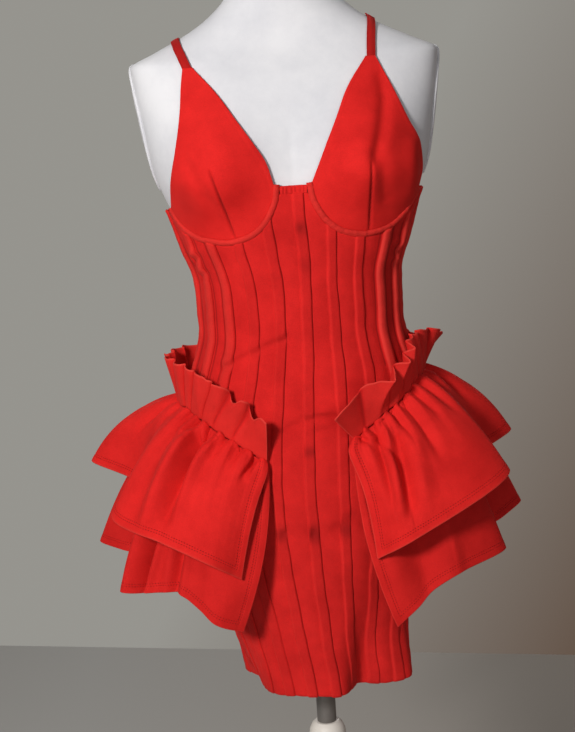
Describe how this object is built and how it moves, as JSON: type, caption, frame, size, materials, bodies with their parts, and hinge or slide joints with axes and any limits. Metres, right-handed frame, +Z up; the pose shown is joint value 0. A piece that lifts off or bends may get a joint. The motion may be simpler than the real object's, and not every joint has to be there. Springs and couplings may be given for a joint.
{
  "type": "peplum dress on dress form",
  "caption": "Bustier mini dress of banded knit panels with thin straps and a tiered ruffle peplum with a pleated header on each hip, on a limbless dress form with a pole stand.",
  "frame": {"origin": "middle of the base's underside, on the floor, under the form's axis", "axes": "+Z up along the form's axis, -Y towards the front of the dress, +X towards the wearer's left"},
  "size_m": [0.5266, 0.38, 1.47],
  "materials": {
    "red_knit": "bright red fine-ribbed bandage knit, matt with a soft sheen",
    "white_jersey": "white stretch jersey over padding, matt",
    "grey_steel": "plain grey steel tube",
    "white_wood": "turned wood, painted off-white, satin"
  },
  "bodies": {
    "root": {"panel_00": "red_knit", "panel_01": "red_knit", "panel_02": "red_knit", "panel_03": "red_knit", "panel_04": "red_knit", "panel_05": "red_knit", "panel_06": "red_knit", "panel_07": "red_knit", "panel_08": "red_knit", "panel_09": "red_knit", "panel_10": "red_knit", "panel_11": "red_knit", "panel_12": "red_knit", "panel_13": "red_knit", "panel_14": "red_knit", "panel_15": "red_knit", "panel_16": "red_knit", "panel_17": "red_knit", "panel_18": "red_knit", "panel_19": "red_knit", "cup_left": "red_knit", "cup_right": "red_knit", "wire_channel_left": "red_knit", "wire_channel_right": "red_knit", "bridge_binding": "red_knit", "strap_left": "red_knit", "strap_right": "red_knit", "header_left": "red_knit", "header_right": "red_knit", "tier_upper_left": "red_knit", "tier_upper_right": "red_knit", "tier_lower_left": "red_knit", "tier_lower_right": "red_knit", "form_torso": "white_jersey", "form_pole": "grey_steel", "form_column": "white_wood", "form_base": "white_wood"}
  },
  "joints": []
}
